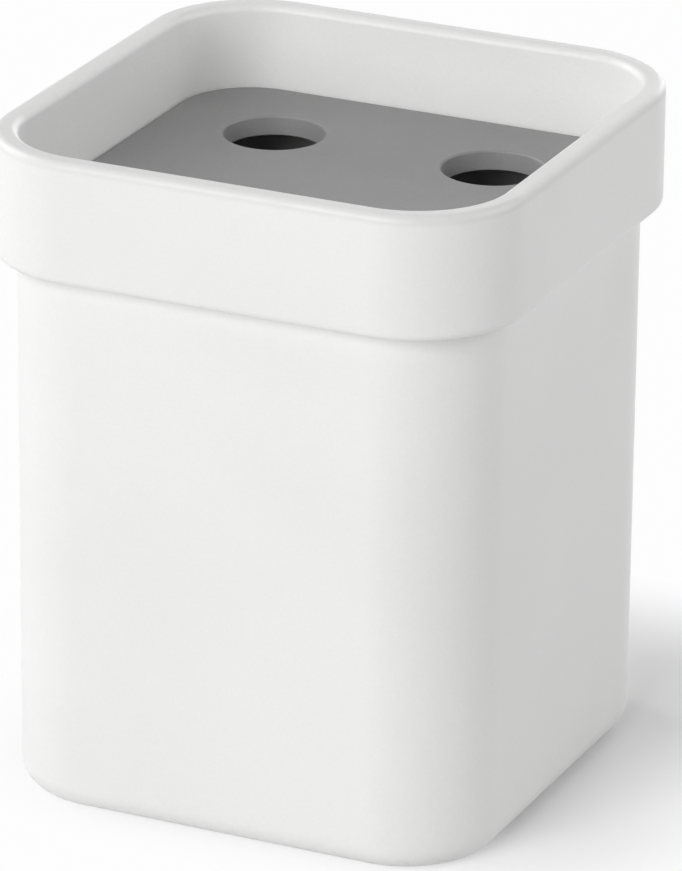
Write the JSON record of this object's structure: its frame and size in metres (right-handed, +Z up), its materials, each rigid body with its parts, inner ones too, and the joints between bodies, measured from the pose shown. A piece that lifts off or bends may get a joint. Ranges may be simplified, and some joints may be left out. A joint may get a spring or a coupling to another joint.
{
  "type": "toothbrush holder",
  "caption": "Free-standing rounded-square toothbrush holder: a white cup with a wider collar, and a grey insert with brush holes that lifts out of it for washing.",
  "frame": {"origin": "centre of the cup's footprint, on the surface that it stands on", "axes": "+Z up, out of the cup's mouth; +X and +Y square to the flat sides, which are all alike"},
  "size_m": [0.08, 0.08, 0.1],
  "materials": {
    "white_plastic": "satin, fine moulded texture",
    "grey_plastic": "matte, fine moulded texture"
  },
  "bodies": {
    "cup": {"cup": "white_plastic"},
    "insert": {"insert": "grey_plastic"}
  },
  "joints": [
    {"name": "insert_lift", "type": "slide", "parent": "cup", "child": "insert", "axis": [0, 0, 1], "range_m": [0, 0.03]}
  ]
}
